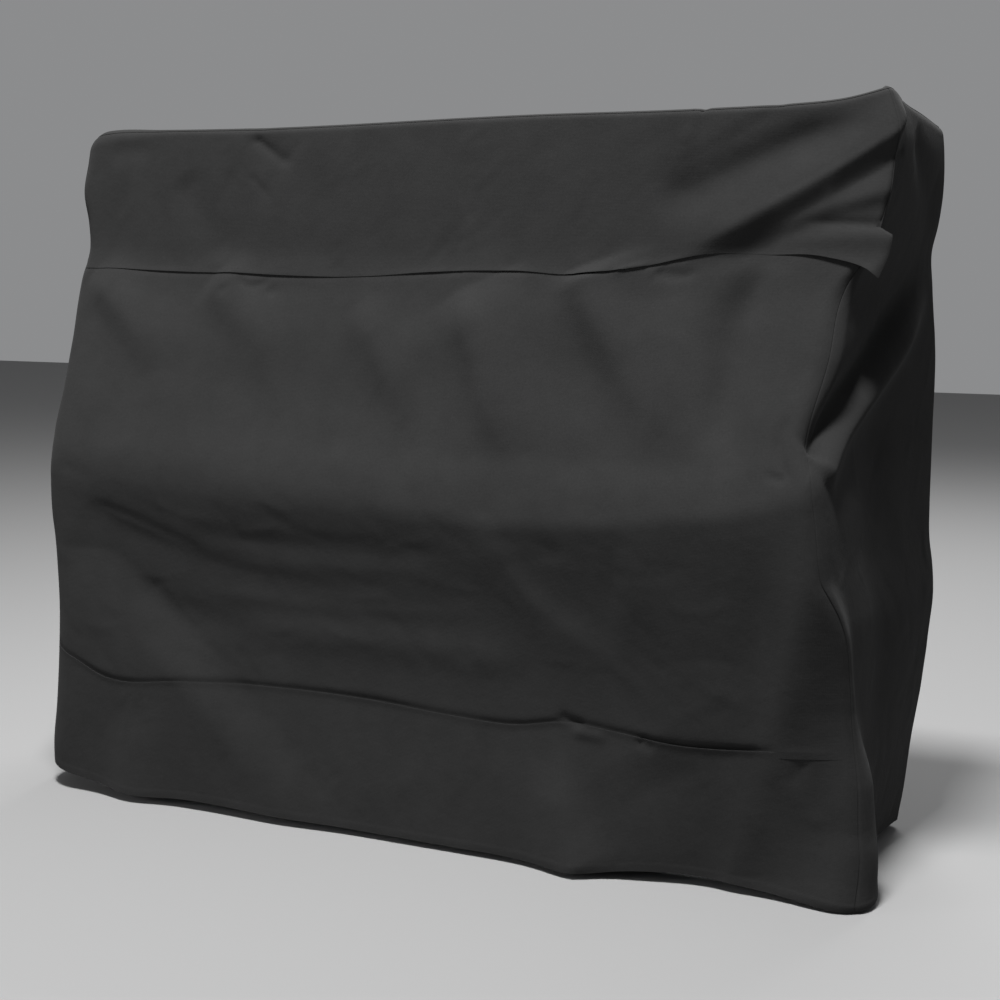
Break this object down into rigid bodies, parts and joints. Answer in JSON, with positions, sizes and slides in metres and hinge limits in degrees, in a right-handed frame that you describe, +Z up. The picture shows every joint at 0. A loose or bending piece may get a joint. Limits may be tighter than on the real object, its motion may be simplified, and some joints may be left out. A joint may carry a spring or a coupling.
{
  "type": "upright piano cover",
  "caption": "Fitted cloth dust cover for an upright piano: sewn box with a tall back, a slope over the keyboard and an open hem.",
  "frame": {"origin": "under the middle of the flat top, where the piano's lid holds the cover up", "axes": "+X to the right along the keyboard, seen from the front; +Y to the back; +Z up"},
  "size_m": [1.6599, 0.5701, 1.2964],
  "materials": {
    "dark_cloth": "matt woven polyester, near black, faintly cool where it catches light"
  },
  "bodies": {
    "root": {"top_panel": "dark_cloth", "hood": "dark_cloth", "front_panel": "dark_cloth", "front_band": "dark_cloth", "side_right": "dark_cloth", "side_left": "dark_cloth", "back_panel": "dark_cloth"}
  },
  "joints": []
}
